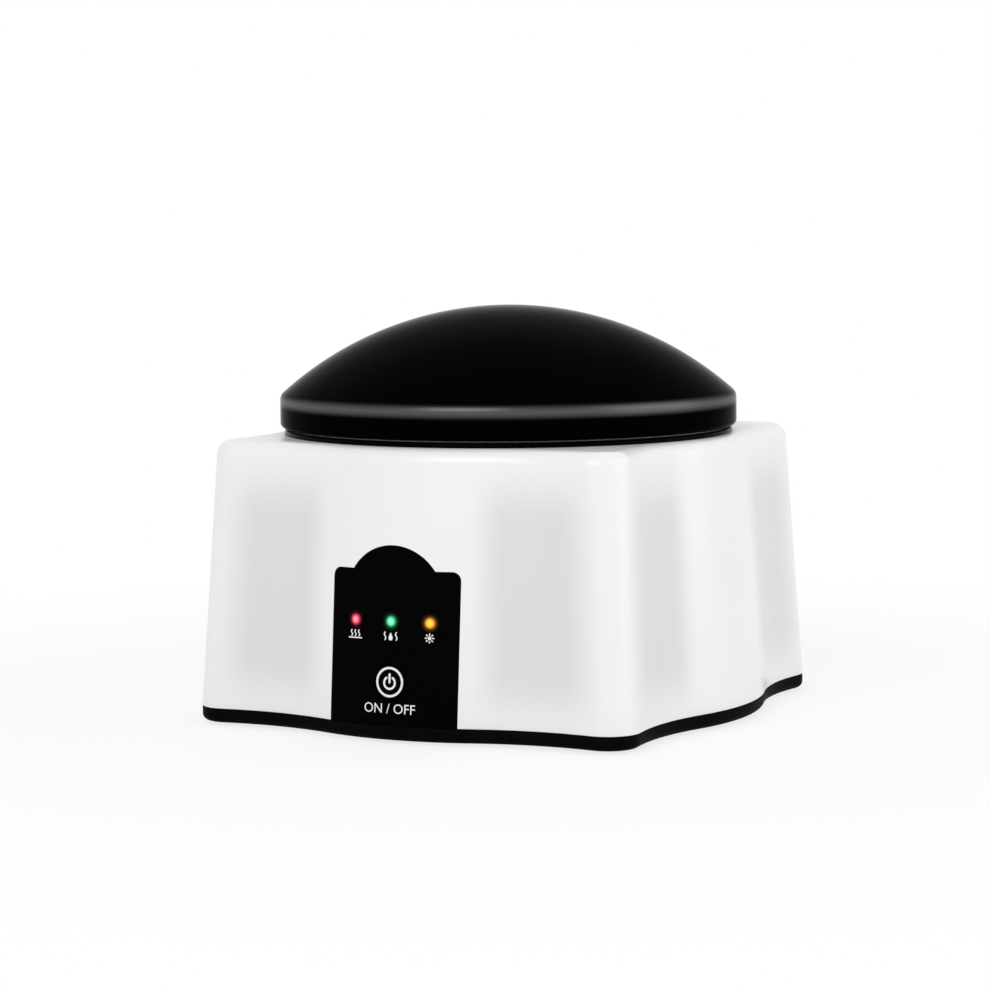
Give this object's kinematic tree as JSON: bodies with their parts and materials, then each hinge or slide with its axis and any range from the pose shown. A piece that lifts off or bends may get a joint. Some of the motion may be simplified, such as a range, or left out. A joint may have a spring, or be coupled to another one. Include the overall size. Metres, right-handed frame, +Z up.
{
  "type": "gel polish remover machine",
  "caption": "Lobed table-top nail steamer with a lift-off domed lid, a finger deck over a steam pot, and a front panel with a push button and lamps.",
  "frame": {"origin": "on the table under the centre of the footprint", "axes": "+Z up, the control panel faces -Y, +X to the right of someone who faces the panel"},
  "size_m": [0.1804, 0.1804, 0.1417],
  "materials": {
    "white_shell": "glossy white moulded plastic",
    "black_base": "satin black moulded plastic",
    "black_gloss": "glossy black moulded plastic",
    "button_black": "glossy black plastic with a printed white power sign",
    "dark_plastic": "matt dark grey plastic",
    "rubber_black": "matt rubber",
    "silicone_grey": "soft grey silicone",
    "steel": "plain zinc plated steel",
    "aluminium": "spun aluminium",
    "red_window": "lit red window",
    "green_window": "lit green window",
    "amber_window": "lit amber window",
    "board_green": "green circuit board",
    "relay_blue": "blue plastic case",
    "capacitor_blue": "dark blue sleeve",
    "socket_ivory": "ivory nylon",
    "chip_white": "white lamp chip",
    "brass": "plain brass",
    "ceramic": "unglazed ceramic"
  },
  "bodies": {
    "housing": {"body_shell": "white_shell", "base_tray": "black_base", "rubber_feet": "rubber_black", "base_screws": "steel", "control_panel": "black_gloss", "tact_switch": "dark_plastic", "heat_window": "red_window", "steam_window": "green_window", "warm_window": "amber_window", "light_baffle": "dark_plastic", "lamp_chips": "chip_white", "control_board": "board_green", "board_screws": "steel", "power_relay": "relay_blue", "capacitors": "capacitor_blue", "lead_sockets": "socket_ivory", "power_inlet": "dark_plastic", "inlet_pin": "brass", "deck_collar": "black_gloss", "collar_screws": "steel", "pot_gasket": "silicone_grey", "steam_pot": "aluminium", "heater_plate": "aluminium", "heater_clamp": "steel", "clamp_screws": "steel", "thermostat": "dark_plastic", "thermostat_screws": "steel", "thermal_fuse": "ceramic", "heat_shield": "steel", "shield_screws": "steel"},
    "power_button": {"power_button": "button_black", "switch_plunger": "dark_plastic"},
    "finger_deck": {"finger_deck": "dark_plastic", "finger_cups": "dark_plastic", "finger_seals": "silicone_grey"},
    "lid": {"lid_dome": "black_gloss", "lid_liner": "dark_plastic", "lid_seal": "silicone_grey"}
  },
  "joints": [
    {"name": "power_button_press", "type": "slide", "parent": "housing", "child": "power_button", "axis": [0, 0.9972, -0.0753], "range_m": [0, 0.0008], "stiffness_N_per_m": 1500, "springref_m": -0.0005},
    {"name": "finger_deck_lift", "type": "slide", "parent": "housing", "child": "finger_deck", "axis": [0, 0, 1], "range_m": [0, 0.05]},
    {"name": "lid_lift", "type": "slide", "parent": "finger_deck", "child": "lid", "axis": [0, 0, 1], "range_m": [0, 0.08]}
  ]
}
